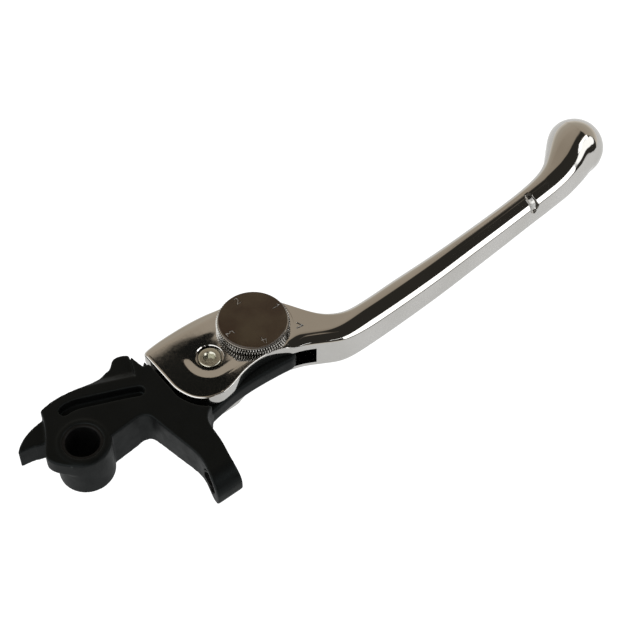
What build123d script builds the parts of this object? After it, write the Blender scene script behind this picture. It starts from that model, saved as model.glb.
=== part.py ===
from build123d import *
import math
import os

# Hydraulic clutch lever with an adjustable span.
# Units mm.  Origin: axis of the main pivot bore, level with the middle of the blade.
# +X runs from the pivot towards the ball end, +Y points away from the handlebar,
# +Z runs up along the pivot axis.

os.makedirs("parts", exist_ok=True)

# ---- heights -------------------------------------------------------------------
TOP = 6.5                 # top of the arm and of the blade
BOSS_TOP = 6.8            # machined face round the bore
BOSS_BOTTOM = -8.0
CORE_TOP = 2.1            # tongue of the arm, between the ears of the blade
CORE_BOTTOM = -3.9
SLOT_TOP = 2.5            # slot of the blade
SLOT_BOTTOM = -4.3
PLATE_BOTTOM = 1.0        # underside of the overhanging plate left of the boss
HOOK_TOP = 3.5
HOOK_BOTTOM = -4.0

# ---- main pivot ----------------------------------------------------------------
PIVOT_R = 5.0
PIVOT_BUSH_R = 5.9
BOSS_R = 8.2
FACE_R = 7.3

# ---- pushrod lug ---------------------------------------------------------------
ROD_Y = -30.0
ROD_Z = 1.0
ROD_R = 3.0
ROD_BUSH_R = 3.6
LUG_END_Y = -35.9
LUG_ROUND = 6.0

# ---- blade hinge ---------------------------------------------------------------
HINGE = (45.4, 1.3)
SCREW_R = 2.0
HEAD_R = 3.5
HEAD_SINK_R = 4.1
HEAD_FLOOR = 3.7
HEAD_TOP = 6.3
SCREW_HEX = 3.0
HINGE_BUSH_R = 3.5
SHIM_R = 4.0
SHIM_T = 0.3
NUT_FLATS = 7.0
NUT_TOP = -5.8
NUT_BOTTOM = -8.0

# ---- span adjuster -------------------------------------------------------------
KNOB = (61.9, 2.0)
KNOB_R = 11.0
KNOB_BOTTOM = 6.6
KNOB_TOP = 9.4
CAP_R = 10.3
CAP_TOP = 10.2
SHAFT_R = 3.0
SHAFT_BUSH_R = 4.2
RUN_GAP = 0.04
CAM_MAX = 5.4
SPAN_DEG = 4.5            # blade swing over three clicks of the knob
CLICK_DEG = 90.0
TRACK_R = 7.5
BALL_R = 1.0
BALL_Z = 5.85
DETENT_ANGLE = 200.0

# ---- blade ---------------------------------------------------------------------
BALL_C = (190.9, -1.75, 0.0)
BALL_END_R = 9.5
NOTCH_X = 161.2

KX, KY = KNOB
HX, HY = HINGE


def face_of(*runs):
    """Closed face from runs of points: two points make a line, more make a spline."""
    with BuildSketch() as sketch:
        with BuildLine():
            for run in runs:
                if len(run) == 2:
                    Line(*run)
                else:
                    Spline(*run)
        make_face()
    return sketch.sketch


def slab(sketch, z0, z1):
    return extrude(Plane.XY.offset(z0) * sketch, amount=z1 - z0)


def disc(x, y, r, z0, z1):
    return Pos(x, y, (z0 + z1) / 2) * Cylinder(r, z1 - z0)


def tube(x, y, r_in, r_out, z0, z1):
    return disc(x, y, r_out, z0, z1) - disc(x, y, r_in, z0 - 1, z1 + 1)


def block(x0, x1, y0, y1, z0, z1):
    centre = Pos((x0 + x1) / 2, (y0 + y1) / 2, (z0 + z1) / 2)
    return centre * Box(x1 - x0, y1 - y0, z1 - z0)


def rod_x(x0, x1, y, z, r):
    return Pos((x0 + x1) / 2, y, z) * Rot(0, 90, 0) * Cylinder(r, x1 - x0)


def rod_y(x, y0, y1, z, r):
    return Pos(x, (y0 + y1) / 2, z) * Rot(90, 0, 0) * Cylinder(r, y1 - y0)


def hex_prism(x, y, flats, z0, z1):
    sketch = Pos(x, y) * RegularPolygon(flats / 2, 6, major_radius=False)
    return slab(sketch, z0, z1)


def save(shape, name):
    export_step(shape, "parts/" + name + ".step")


# ==== actuator arm ==============================================================
# outline seen from above, anticlockwise from the corner above the hook
top_left = (-3.8, 16.1)
plate_back = [top_left, (-0.5, 16.8), (4.0, 16.85), (7.7, 16.35), (11.5, 15.75), (15.5, 15.8), (18.8, 16.6)]
tab = [(18.8, 16.6), (21.5, 17.75), (23.0, 19.0), (25.3, 18.95), (27.75, 17.3)]
tab_corner = (27.3, 16.25)
vee_floor = (28.2, 10.7)
wall_top = (30.1, 10.3)
ear_wall_end = (30.1, -1.0)
ear_groove = [ear_wall_end, (30.1, -4.2), (31.2, -7.5), (33.0, -10.4), (35.0, -12.3)]
toe = (35.9, -12.95)
leg_right = [toe, (33.6, -14.2), (32.2, -16.0), (31.6, -18.6), (31.0, -24.0), (29.9, -29.0), (29.3, -36.0)]
leg_left = [(20.7, -36.0), (21.2, -32.0), (22.5, -27.3), (22.8, -24.5), (22.0, -17.7), (21.0, -11.4), (20.2, -5.9)]
crotch = [(20.2, -5.9), (19.2, -3.8), (16.8, -2.8)]
web_start = (7.35, -3.6)
boss_low = (-math.sqrt(BOSS_R ** 2 - 36.0), -6.0)
plate_left = [boss_low, (-9.1, -2.4), (-10.9, 2.0), (-9.3, 5.0), (-6.0, 10.3), top_left]


with BuildSketch() as arm_face:
    with BuildLine():
        Spline(*plate_back)
        Spline(*tab)
        Polyline(tab[-1], tab_corner, vee_floor, wall_top, ear_wall_end)
        Spline(*ear_groove)
        Line(ear_groove[-1], toe)
        Spline(*leg_right)
        Line(leg_right[-1], leg_left[0])
        Spline(*leg_left)
        ThreePointArc(*crotch)
        Line(crotch[-1], web_start)
        ThreePointArc(web_start, (0.6, -math.sqrt(BOSS_R ** 2 - 0.36)), boss_low)
        Spline(*plate_left)
    make_face()
arm = slab(arm_face.sketch, PLATE_BOTTOM, TOP)
rim = []
for e in arm.edges():
    c = e.center()
    if c.Z > TOP - 0.01 and c.Y > -30 and (c.Y < -14 or (c.X < 25 and c.Y < 10)):
        rim.append(e)
arm = fillet(rim, 0.4)

# body below the plate: boss, web, fork leg and the wall the ears stand against
lower_face = face_of(
    [(-2.0, 7.9), (6.0, 11.0), (14.0, 12.0), (20.5, 15.6)],
    [(20.5, 15.6), (23.3, 17.9)],
    [(23.3, 17.9), (26.5, 16.6)],
    [(26.5, 16.6), vee_floor],
    [vee_floor, wall_top],
    [wall_top, ear_wall_end],
    ear_groove,
    [ear_groove[-1], toe],
    leg_right,
    [leg_right[-1], leg_left[0]],
    leg_left,
    [leg_left[-1], (19.2, -3.8), (16.8, -2.8)],
    [(16.8, -2.8), (6.0, -3.7)],
    [(6.0, -3.7), (-2.0, -3.7)],
    [(-2.0, -3.7), (-2.0, 7.9)],
)
lower = slab(lower_face, -9.0, PLATE_BOTTOM)
with BuildSketch(Plane.XZ) as side:
    Polygon((-12, 8), (-12, BOSS_BOTTOM), (15.5, BOSS_BOTTOM), (20.5, -6.6), (40, -6.6), (40, 8), align=None)
lower &= Pos(0, 60, 0) * extrude(side.sketch, amount=120)
arm += lower
arm += disc(0, 0, BOSS_R, BOSS_BOTTOM, TOP - 0.5)

# fork leg: the underside rises towards a rounded lug
leg_top_y = LUG_END_Y + LUG_ROUND
with BuildSketch(Plane.YZ) as leg_side:
    with BuildLine():
        Polyline((20, -20), (20, 20), (leg_top_y, 20), (leg_top_y, TOP))
        ThreePointArc(
            (leg_top_y, TOP),
            (leg_top_y - LUG_ROUND * math.sin(math.pi / 4), TOP - LUG_ROUND * (1 - math.cos(math.pi / 4))),
            (LUG_END_Y, TOP - LUG_ROUND),
        )
        Line((LUG_END_Y, TOP - LUG_ROUND), (LUG_END_Y, -1.4))
        ThreePointArc((LUG_END_Y, -1.4), (-35.1, -3.4), (-33.1, -4.2))
        Polyline((-33.1, -4.2), (-26.0, -4.2), (-9.0, -5.6), (-3.4, -6.6), (-3.4, -20), (20, -20))
    make_face()
arm -= block(18.5, 40, -40, -3.4, -10, 10) - extrude(leg_side.sketch, amount=60)

# tongue between the ears of the blade
core = face_of(
    [(27.0, -12.9), (33.0, -13.2)],
    [(33.0, -13.2), (38.0, -12.3), (46.0, -11.1), (54.0, -11.0), (61.0, -11.5), (65.5, -12.0)],
    [(65.5, -12.0), (67.6, -11.2), (68.4, -9.0)],
    [(68.4, -9.0), (68.4, -5.0)],
    [(68.4, -5.0), (66.9, -3.5)],
    [(66.9, -3.5), (55.9, -3.5)],
    [(55.9, -3.5), (54.2, -0.8), (53.9, 1.3)],
    [(53.9, 1.3), (51.4, 7.3), (45.4, 9.8)],
    [(45.4, 9.8), (27.0, 10.2)],
    [(27.0, 10.2), (27.0, -12.9)],
)
tongue = slab(core, CORE_BOTTOM, CORE_TOP)
front_edges = []
for e in tongue.edges():
    c = e.center()
    if c.Y < -10.8 and c.X > 36 and abs(e.tangent_at(0.5).Z) < 0.1:
        front_edges.append(e)
tongue = fillet(front_edges, 1.2)
arm += tongue

# claw behind the overhanging plate
hook = face_of(
    [(-3.0, 15.0), (-6.6, 14.75), (-9.6, 14.0), (-13.2, 12.2), (-15.2, 10.4), (-16.2, 9.0)],
    [(-16.2, 9.0), (-16.2, 8.3), (-15.5, 8.1)],
    [(-15.5, 8.1), (-14.0, 8.7), (-12.3, 8.95), (-9.6, 8.4), (-7.5, 7.8)],
    [(-7.5, 7.8), (-3.0, 7.8)],
    [(-3.0, 7.8), (-3.0, 15.0)],
)
hook = slab(hook, HOOK_BOTTOM, HOOK_TOP)
arm += hook

# low web that covers the end of the ears beside the tab
web = face_of([(27.9, 9.6), (28.2, 10.7), (30.1, 12.9)], [(30.1, 12.9), (30.1, 9.0)], [(30.1, 9.0), (27.9, 9.6)])
arm += slab(web, -3.9, 4.9)

# lower shoulder beside the tab: a short slope, then a flat 1.5 mm down
ridge = (10.0, 15.5)
ridge_dir = (22.7 - ridge[0], 10.0 - ridge[1])
ridge_angle = math.degrees(math.atan2(ridge_dir[1], ridge_dir[0]))
with BuildSketch(Plane.YZ) as shoulder:
    Polygon((0, TOP), (2.6, TOP - 1.5), (14, TOP - 1.5), (14, TOP + 2), (0, TOP + 2), align=None)
step = Pos(ridge[0], ridge[1], 0) * Rot(0, 0, ridge_angle) * Pos(-4, 0, 0) * extrude(shoulder.sketch, amount=19.75)
arm -= step

# machined face, bore, casting pocket and pushrod hole
arm += disc(0, 0, FACE_R, TOP - 1.0, BOSS_TOP)
arm -= disc(0, 0, PIVOT_BUSH_R, BOSS_BOTTOM - 1, BOSS_TOP + 1)
with BuildSketch(Plane.XY.offset(TOP - 3.0)) as pocket:
    with BuildLine():
        spine = Spline((1.8, 12.0), (5.5, 11.7), (9.0, 10.3), (13.6, 8.3), (18.4, 6.2), (22.3, 4.3))
    trace(spine, 3.4)
    with Locations((1.8, 12.0), (22.3, 4.3)):
        Circle(1.7)
pocket = extrude(pocket.sketch, amount=4.0)
arm -= pocket
arm -= rod_x(18, 32, ROD_Y, ROD_Z, ROD_BUSH_R)

# hinge hole, spring pocket and wear pad seat in the tongue
SPRING_R = 5.2
SPRING_WIRE = 0.4
SPRING_TOP = -0.85
SPRING_LEG_R = 6.8
PAD = (57.2, 66.8, -5.1, KY - CAM_MAX - 0.08)
PAD_Z = (-3.3, 1.5)
PIN_X = (59.2, 64.8)
arm -= disc(HX, HY, HINGE_BUSH_R, CORE_BOTTOM - 1, CORE_TOP + 1)
arm -= tube(HX, HY, 4.3, 6.2, CORE_BOTTOM - 1, SPRING_TOP)
arm -= block(HX + 5.4, HX + 7.4, HY - 1.3, HY + 0.7, CORE_BOTTOM - 1, SPRING_TOP)
arm -= disc(HX - SPRING_R, HY, SPRING_WIRE + 0.02, SPRING_TOP - 0.1, 0.7)
arm -= block(PAD[0], PAD[1], PAD[2], PAD[3] + 2, PAD_Z[0], PAD_Z[1])
for px in PIN_X:
    arm -= rod_y(px, -9.1, PAD[2] + 0.5, -0.9, 0.75)
arm = arm.solid() if isinstance(arm, Compound) else arm
save(arm, "actuator_arm")

# ==== pieces fixed in the arm ===================================================
bush = tube(0, 0, PIVOT_R, PIVOT_BUSH_R, BOSS_BOTTOM + 0.3, BOSS_TOP - 0.3)
bush = chamfer(bush.edges().filter_by(GeomType.CIRCLE).group_by(SortBy.RADIUS)[0], 0.25)
save(bush, "pivot_bush")

rod_bush = rod_x(22.3, 29.0, ROD_Y, ROD_Z, ROD_BUSH_R) - rod_x(20, 31, ROD_Y, ROD_Z, ROD_R)
save(rod_bush, "pushrod_bush")

save(tube(HX, HY, SCREW_R + RUN_GAP, HINGE_BUSH_R, CORE_BOTTOM, CORE_TOP), "hinge_bush")

shims = []
for z0 in (CORE_TOP, CORE_BOTTOM - SHIM_T):
    shims.append(tube(HX, HY, SCREW_R + 0.3, SHIM_R, z0, z0 + SHIM_T))
save(Compound(children=shims), "hinge_shims")

pad = block(PAD[0], PAD[1], PAD[2], PAD[3], PAD_Z[0], PAD_Z[1])
for px in PIN_X:
    pad -= rod_y(px, PAD[2] - 1, PAD[2] + 0.8, -0.9, 0.75)
save(pad, "cam_wear_pad")
pins = [rod_y(px, -9.0, PAD[2] + 0.8, -0.9, 0.75) for px in PIN_X]
save(Compound(children=pins), "pad_pins")

# return spring: a torsion coil in the pocket under the tongue, one end in the arm, one in the blade
turns = 2.5
pitch = 0.85
coil_z = -3.45
with BuildPart() as spring:
    with BuildLine():
        helix = Helix(pitch, turns * pitch, SPRING_R, center=(HX, HY, coil_z))
    with BuildSketch(Plane(origin=helix @ 0, z_dir=helix % 0)):
        Circle(SPRING_WIRE)
    sweep(path=helix, is_frenet=True)
coil = spring.part
coil += rod_x(HX + SPRING_R, HX + SPRING_LEG_R, HY, coil_z, SPRING_WIRE)
coil += Pos(HX + SPRING_LEG_R, HY, coil_z) * Sphere(SPRING_WIRE)
coil += disc(HX + SPRING_LEG_R, HY, SPRING_WIRE, SLOT_BOTTOM - 1.2, coil_z)
coil += disc(HX - SPRING_R, HY, SPRING_WIRE, coil_z + turns * pitch, 0.6)
coil += Pos(HX - SPRING_R, HY, coil_z + turns * pitch) * Sphere(SPRING_WIRE)
save(coil, "return_spring")

# ==== lever blade ===============================================================
# ears, flare under the knob and the knee, seen from above
ear_corner = (30.9, 13.4)
KNEE_X = 82.0
head = face_of(
    [ear_corner, (30.9, 0.5)],
    [(30.9, 0.5), (32.0, -5.0), (35.5, -9.5), (40.5, -11.4), (47.0, -10.15), (53.0, -8.6), (57.0, -8.4),
     (63.0, -9.5), (70.0, -12.0), (76.0, -15.4), (KNEE_X, -18.0)],
    [(KNEE_X, -18.0), (KNEE_X, -6.7)],
    [(KNEE_X, -6.7), (77.9, -2.3), (74.6, 3.5), (72.0, 7.3), (68.3, 10.6), (64.0, 12.5), (58.4, 13.9),
     (50.3, 15.6), (40.3, 15.85), (32.6, 15.1)],
    [(32.6, 15.1), (31.3, 14.7), ear_corner],
)
blade = slab(head, -6.5, TOP)
rims = []
for e in blade.edges():
    c = e.center()
    if abs(abs(c.Z) - 6.5) < 0.01 and abs(c.X - KNEE_X) > 0.5:
        rims.append(e)
blade = fillet(rims, 0.7)

# grip from the knee to the ball: x, front y, back y, half height, front and back corner radius
grip = [
    (82.0, -17.93, -6.78, 6.42, 0.7, 0.7),
    (86.0, -18.4, -8.9, 6.45, 1.2, 1.6),
    (92.0, -18.4, -9.6, 6.3, 1.8, 2.6),
    (105.0, -18.2, -9.4, 6.1, 2.0, 3.0),
    (120.0, -17.5, -9.2, 6.05, 2.0, 3.0),
    (135.0, -16.4, -8.6, 6.0, 2.0, 3.0),
    (150.0, -15.3, -7.7, 5.8, 2.0, 3.0),
    (162.0, -14.35, -6.6, 5.75, 2.0, 3.0),
    (170.0, -13.75, -5.3, 5.85, 2.2, 3.0),
    (175.0, -13.3, -3.3, 6.3, 3.0, 3.6),
    (180.0, -12.8, 0.6, 7.3, 4.4, 5.2),
    (185.0, -12.2, 4.9, 8.55, 6.8, 7.4),
    (188.5, -11.7, 7.0, 9.2, 8.5, 8.6),
    (190.9, -11.25, 7.75, 9.45, 9.3, 9.3),
]
sections = []
for x, y0, y1, h, r_front, r_back in grip:
    plane = Plane(origin=(x, (y0 + y1) / 2, 0), x_dir=(0, 1, 0), z_dir=(1, 0, 0))
    outline = Rectangle(y1 - y0, 2 * h)
    front = [v for v in outline.vertices() if v.X < 0]
    outline = fillet(front, r_front)
    back = [v for v in outline.vertices() if v.X > (y1 - y0) / 2 - 0.001]
    outline = fillet(back, r_back)
    sections.append(plane * outline)
BAR_END = 8
blade += loft(sections[:BAR_END])
blade += loft(sections[BAR_END - 1:])
blade += Pos(*BALL_C) * Sphere(BALL_END_R)

# slot for the tongue and the cam
slot = face_of(
    [(29.0, -26.0), (73.4, -26.0)],
    [(73.4, -26.0), (73.4, -8.0)],
    [(73.4, -8.0), (70.4, 0.6)],
    [(70.4, 0.6), (68.1, 0.6)],
    [(68.1, 0.6), (61.9, 0.6)],
    [(61.9, 0.6), (61.9, 8.4)],
    [(61.9, 8.4), (55.0, 8.4)],
    [(55.0, 8.4), (55.0, 20.0)],
    [(55.0, 20.0), (29.0, 20.0)],
    [(29.0, 20.0), (29.0, -26.0)],
)
blade -= slab(slot, SLOT_BOTTOM, SLOT_TOP)
blade -= disc(KX, KY, 6.4, SLOT_BOTTOM, SLOT_TOP)
# the lower ear stops short of the swell of the upper one
blade -= block(28, 51, -14, -10, -7, SLOT_BOTTOM)

# hinge screw seats
blade -= disc(HX, HY, HEAD_SINK_R, HEAD_FLOOR, TOP + 1)
blade -= disc(HX, HY, SCREW_R + 0.1, -8, TOP)
blade -= hex_prism(HX, HY, NUT_FLATS + 0.3, -8, NUT_TOP)
blade -= disc(HX + SPRING_LEG_R, HY, 0.6, SLOT_BOTTOM - 1.4, SLOT_BOTTOM + 0.1)

# adjuster bearing seats, seal groove and detent hole
blade -= disc(KX, KY, SHAFT_BUSH_R, -8, TOP + 1)
blade -= tube(KX, KY, 4.7, 5.9, 5.7, TOP + 1)
DX = KX + TRACK_R * math.cos(math.radians(DETENT_ANGLE))
DY = KY + TRACK_R * math.sin(math.radians(DETENT_ANGLE))
DETENT_FLOOR = 3.1
blade -= disc(DX, DY, BALL_R + 0.05, DETENT_FLOOR, TOP + 1)

# snap-off notch: down the front face and over the front edge, with round ends, and a nick below it
NOTCH_R = 1.3
front_y = -14.75
notch = disc(NOTCH_X, front_y, NOTCH_R, 1.0, 5.3)
notch += Pos(NOTCH_X, front_y, 1.0) * Sphere(NOTCH_R)
notch += Pos(NOTCH_X, front_y + 0.6, 5.3) * Sphere(NOTCH_R)
notch += rod_y(NOTCH_X, front_y + 0.6, -10.8, 6.1, NOTCH_R)
notch += Pos(NOTCH_X, -10.8, 6.1) * Sphere(NOTCH_R)
blade -= notch
blade -= Pos(NOTCH_X + 0.4, front_y + 0.5, -5.5) * Sphere(0.95)

# index mark beside the knob
with BuildSketch(Plane.XY.offset(TOP - 0.25)) as mark:
    with Locations(Pos(73.0, -6.3) * Rot(0, 0, 143)):
        Polygon((-1.1, 0), (0.7, 1.0), (0.7, 0.45), (-0.1, 0), (0.7, -0.45), (0.7, -1.0), align=None)
blade -= extrude(mark.sketch, amount=1.0)
save(blade, "lever_blade")

# ==== pieces fixed in the blade =================================================
screw = disc(HX, HY, SCREW_R, NUT_BOTTOM, HEAD_FLOOR + 0.1)
head_part = disc(HX, HY, HEAD_R, HEAD_FLOOR, HEAD_TOP)
head_part = chamfer(head_part.edges().group_by(Axis.Z)[-1], 0.3)
screw += head_part
screw -= hex_prism(HX, HY, SCREW_HEX, HEAD_TOP - 1.7, HEAD_TOP + 1)
save(screw, "hinge_screw")

nut = hex_prism(HX, HY, NUT_FLATS, NUT_BOTTOM, NUT_TOP)
nut &= Pos(HX, HY, NUT_TOP) * Cone(6.6, 4.4, 4.4) + disc(HX, HY, 4.0, NUT_BOTTOM, NUT_TOP)
nut -= disc(HX, HY, SCREW_R, NUT_BOTTOM - 1, NUT_TOP + 1)
save(nut, "hinge_nut")

save(tube(KX, KY, SHAFT_R + RUN_GAP, SHAFT_BUSH_R, SLOT_TOP, TOP), "shaft_bush_upper")
save(tube(KX, KY, SHAFT_R + RUN_GAP, SHAFT_BUSH_R, -6.5, SLOT_BOTTOM), "shaft_bush_lower")
save(Pos(KX, KY, 6.1) * Torus(5.3, 0.4), "knob_seal")

save(Pos(DX, DY, BALL_Z) * Sphere(BALL_R), "detent_ball")
d_wire = 0.14
d_low = DETENT_FLOOR + d_wire
d_high = BALL_Z - BALL_R + 0.1
with BuildPart() as d_spring:
    with BuildLine():
        coil = Helix((d_high - d_low) / 4, d_high - d_low, 0.78, center=(DX, DY, d_low))
    with BuildSketch(Plane(origin=coil @ 0, z_dir=coil % 0)):
        Circle(d_wire)
    sweep(path=coil, is_frenet=True)
save(d_spring.part, "detent_spring")

# ==== pieces that turn with the knob ============================================
# knurled ring: two rows of teeth with a plain groove between them
TEETH = 72
row = []
for i in range(2 * TEETH):
    a = math.pi * i / TEETH
    r = KNOB_R if i % 2 else KNOB_R - 0.4
    row.append((KX + r * math.cos(a), KY + r * math.sin(a)))
teeth = Polygon(*row, align=None)
knob = slab(teeth, KNOB_BOTTOM + 0.1, 7.85) + slab(teeth, 8.15, KNOB_TOP - 0.1)
knob += disc(KX, KY, KNOB_R - 0.55, KNOB_BOTTOM, KNOB_TOP)
knob -= disc(KX, KY, 9.6, 8.7, KNOB_TOP + 1)
knob -= disc(KX, KY, 2.9, 8.0, KNOB_TOP)
knob -= tube(KX, KY, TRACK_R - 1.3, TRACK_R + 1.3, KNOB_BOTTOM - 1, 7.2)
for i in range(4):
    a = math.radians(DETENT_ANGLE + CLICK_DEG * i)
    knob -= Pos(KX + TRACK_R * math.cos(a), KY + TRACK_R * math.sin(a), BALL_Z + 0.6) * Sphere(1.35)
DRIVE = 4.0
knob -= block(KX - DRIVE / 2, KX + DRIVE / 2, KY - DRIVE / 2, KY + DRIVE / 2, KNOB_BOTTOM - 1, KNOB_TOP)
save(knob, "adjuster_knob")

cap = disc(KX, KY, CAP_R, KNOB_TOP, CAP_TOP)
cap = fillet(cap.edges().group_by(Axis.Z)[-1], 0.35)
cap += disc(KX, KY, 9.55, 9.0, KNOB_TOP)
# position digits, cut as single strokes; each stands upright towards the rim
DIGIT_R = 8.3
strokes = {
    1: [[(-0.35, 0.6), (0.15, 1.0), (0.15, -1.0)]],
    2: [[(-0.5, 0.8), (0.4, 0.8), (0.4, 0.1), (-0.5, -0.9), (0.6, -0.9)]],
    3: [[(-0.5, 0.9), (0.5, 0.9), (-0.1, 0.1), (0.5, -0.3), (0.2, -0.9), (-0.5, -0.9)]],
    4: [[(-0.2, 1.0), (-0.6, -0.2), (0.6, -0.2)], [(0.25, 0.5), (0.25, -1.0)]],
}
for value, angle in ((1, -3.0), (2, 87.0), (3, 179.0), (4, 256.0)):
    a = math.radians(angle)
    spot = Pos(KX + DIGIT_R * math.cos(a), KY + DIGIT_R * math.sin(a), CAP_TOP - 0.12) * Rot(0, 0, angle - 90)
    for stroke in strokes[value]:
        with BuildSketch() as digit:
            with BuildLine():
                line = Polyline(*stroke)
            trace(line, 0.3)
        cap -= spot * extrude(digit.sketch, amount=1.0)
save(cap, "knob_cap")

shaft = disc(KX, KY, SHAFT_R, -8.0, KNOB_BOTTOM)
shaft += block(KX - DRIVE / 2, KX + DRIVE / 2, KY - DRIVE / 2, KY + DRIVE / 2, KNOB_BOTTOM, 8.0)
shaft -= tube(KX, KY, 2.3, 4.0, -7.5, -7.0)
shaft -= disc(KX, KY, 1.25, 4.0, 9.0)
CAM_Z = (-3.5, 1.7)
shaft -= rod_y(KX, KY - 4, KY + 4, -0.9, 0.75)
save(shaft, "adjuster_shaft")

knob_screw = disc(KX, KY, 1.25, 4.2, 8.1) + disc(KX, KY, 2.5, 8.0, 8.9)
knob_screw -= hex_prism(KX, KY, 1.5, 8.3, 9.5)
save(knob_screw, "knob_screw")

# cam: the radius falls evenly with the knob angle, so each click swings the blade alike
swing = math.radians(SPAN_DEG)
fall = (KX - HX) * math.sin(swing) + (KY - HY) * (1 - math.cos(swing))
turn_used = 3 * CLICK_DEG - SPAN_DEG
cam_points = []
for i in range(36):
    turned = 10.0 * i
    if turned <= turn_used:
        r = CAM_MAX - fall * turned / turn_used
    else:
        part = (turned - turn_used) / (360.0 - turn_used)
        r = CAM_MAX - fall * (1 + math.cos(math.pi * part)) / 2
    a = math.radians(270.0 - turned)
    cam_points.append((KX + r * math.cos(a), KY + r * math.sin(a)))
with BuildSketch() as cam_face:
    with BuildLine():
        Spline(*cam_points, periodic=True)
    make_face()
cam = slab(cam_face.sketch, *CAM_Z) - disc(KX, KY, SHAFT_R, -9, 9)
cam -= rod_y(KX, KY - 3.9, KY + 3.9, -0.9, 0.75)
save(cam, "span_cam")
save(rod_y(KX, KY - 3.6, KY + 3.6, -0.9, 0.75), "cam_pin")

save(tube(KX, KY, SHAFT_R + 0.1, 4.6, -6.95, -6.55), "shaft_washer")
clip = tube(KX, KY, 2.3, 4.4, -7.5, -7.0) - block(KX - 1.6, KX + 1.6, KY, KY + 6, -8, -6.9)
save(clip, "shaft_clip")
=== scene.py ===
"""Looks for the adjustable clutch lever.  Metres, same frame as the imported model."""
import math

import bmesh
import bpy
import numpy as np
from mathutils import Matrix, Vector


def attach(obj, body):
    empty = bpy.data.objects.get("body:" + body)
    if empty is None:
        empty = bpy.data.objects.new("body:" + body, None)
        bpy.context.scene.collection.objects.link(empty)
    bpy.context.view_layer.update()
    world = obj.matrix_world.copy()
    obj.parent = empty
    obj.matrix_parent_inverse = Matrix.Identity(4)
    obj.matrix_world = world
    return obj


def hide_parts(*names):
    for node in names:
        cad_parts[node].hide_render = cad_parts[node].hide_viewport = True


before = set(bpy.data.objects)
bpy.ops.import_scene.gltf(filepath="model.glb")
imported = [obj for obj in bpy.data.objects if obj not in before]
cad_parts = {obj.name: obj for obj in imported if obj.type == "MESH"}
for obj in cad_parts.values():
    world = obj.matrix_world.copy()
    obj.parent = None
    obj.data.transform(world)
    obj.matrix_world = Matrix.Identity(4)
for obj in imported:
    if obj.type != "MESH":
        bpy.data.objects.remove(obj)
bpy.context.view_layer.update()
MM = 0.001

# ---- shared sizes, mm -------------------------------------------------------------
TOP = 6.5
HINGE = (45.4, 1.3)
KNOB = (61.9, 2.0)
KNOB_R = 11.0
CAP_R = 10.3
CAP_TOP = 10.2
TRACK_R = 7.5             # track of the detent ball under the knob
DETENT_ANGLE = 200.0
BALL_C = (190.9, -1.75)
BALL_R = 9.5
SLOT_TOP = 2.5
SLOT_BOTTOM = -4.3
LOFT_START = 41.0         # x of the first section; left of it the ears end in a curve
EARS_END = 66.0           # x where the ears run into the neck


# ==== small tools ====================================================================
def new_object(name, verts, faces):
    """Mesh object from points in mm."""
    mesh = bpy.data.meshes.new(name)
    mesh.from_pydata([(x * MM, y * MM, z * MM) for x, y, z in verts], [], faces)
    mesh.validate()
    obj = bpy.data.objects.new(name, mesh)
    bpy.context.scene.collection.objects.link(obj)
    return obj


def apply_modifiers(obj):
    """Bakes the object's modifiers into its mesh."""
    graph = bpy.context.evaluated_depsgraph_get()
    mesh = bpy.data.meshes.new_from_object(obj.evaluated_get(graph))
    old = obj.data
    obj.modifiers.clear()
    obj.data = mesh
    bpy.data.meshes.remove(old)


def fix_normals(obj):
    """Joins doubled points and turns every face outwards."""
    bm = bmesh.new()
    bm.from_mesh(obj.data)
    bmesh.ops.remove_doubles(bm, verts=bm.verts, dist=1e-7)
    bmesh.ops.recalc_face_normals(bm, faces=bm.faces)
    bm.to_mesh(obj.data)
    bm.free()


def shade(obj, angle=35.0, weighted=True):
    """Smooth shading that breaks at edges sharper than angle."""
    mesh = obj.data
    mesh.polygons.foreach_set("use_smooth", [True] * len(mesh.polygons))
    mesh.set_sharp_from_angle(angle=math.radians(angle))
    if weighted:
        mod = obj.modifiers.new("weighted", "WEIGHTED_NORMAL")
        mod.keep_sharp = True
        mod.weight = 50
        apply_modifiers(obj)


def cut(obj, cutter):
    """Takes the cutter's volume off the object and removes the cutter."""
    mod = obj.modifiers.new("bool", "BOOLEAN")
    mod.operation = "DIFFERENCE"
    mod.solver = "EXACT"
    mod.object = cutter
    apply_modifiers(obj)
    bpy.data.objects.remove(cutter)


def close_gaps(obj):
    """Joins the doubled points a cut leaves and fills the slits between them."""
    bm = bmesh.new()
    bm.from_mesh(obj.data)
    bmesh.ops.remove_doubles(bm, verts=bm.verts, dist=0.0002 * MM)
    bmesh.ops.holes_fill(bm, edges=[e for e in bm.edges if len(e.link_faces) == 1], sides=0)
    bm.to_mesh(obj.data)
    bm.free()


def prism(outline, z0, z1):
    """Upright prism over a closed outline, mm, to cut with."""
    n = len(outline)
    verts = [(x, y, z0) for x, y in outline] + [(x, y, z1) for x, y in outline]
    faces = [list(range(n - 1, -1, -1)), list(range(n, 2 * n))]
    faces += [(i, (i + 1) % n, n + (i + 1) % n, n + i) for i in range(n)]
    obj = new_object("cut", verts, faces)
    fix_normals(obj)
    return obj


def circle(x, y, r, n=96):
    """Outline of a circle."""
    return [(x + r * math.cos(2 * math.pi * i / n), y + r * math.sin(2 * math.pi * i / n)) for i in range(n)]


def polar(centre, r, degrees):
    """Point at a distance and bearing from a centre."""
    a = math.radians(degrees)
    return centre[0] + r * math.cos(a), centre[1] + r * math.sin(a)


def hexagon(centre, flats, turn=0.0):
    """Outline of a hexagon given the distance across its flats."""
    return [polar(centre, flats / 2 / math.cos(math.pi / 6), a + turn) for a in range(0, 360, 60)]


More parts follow.
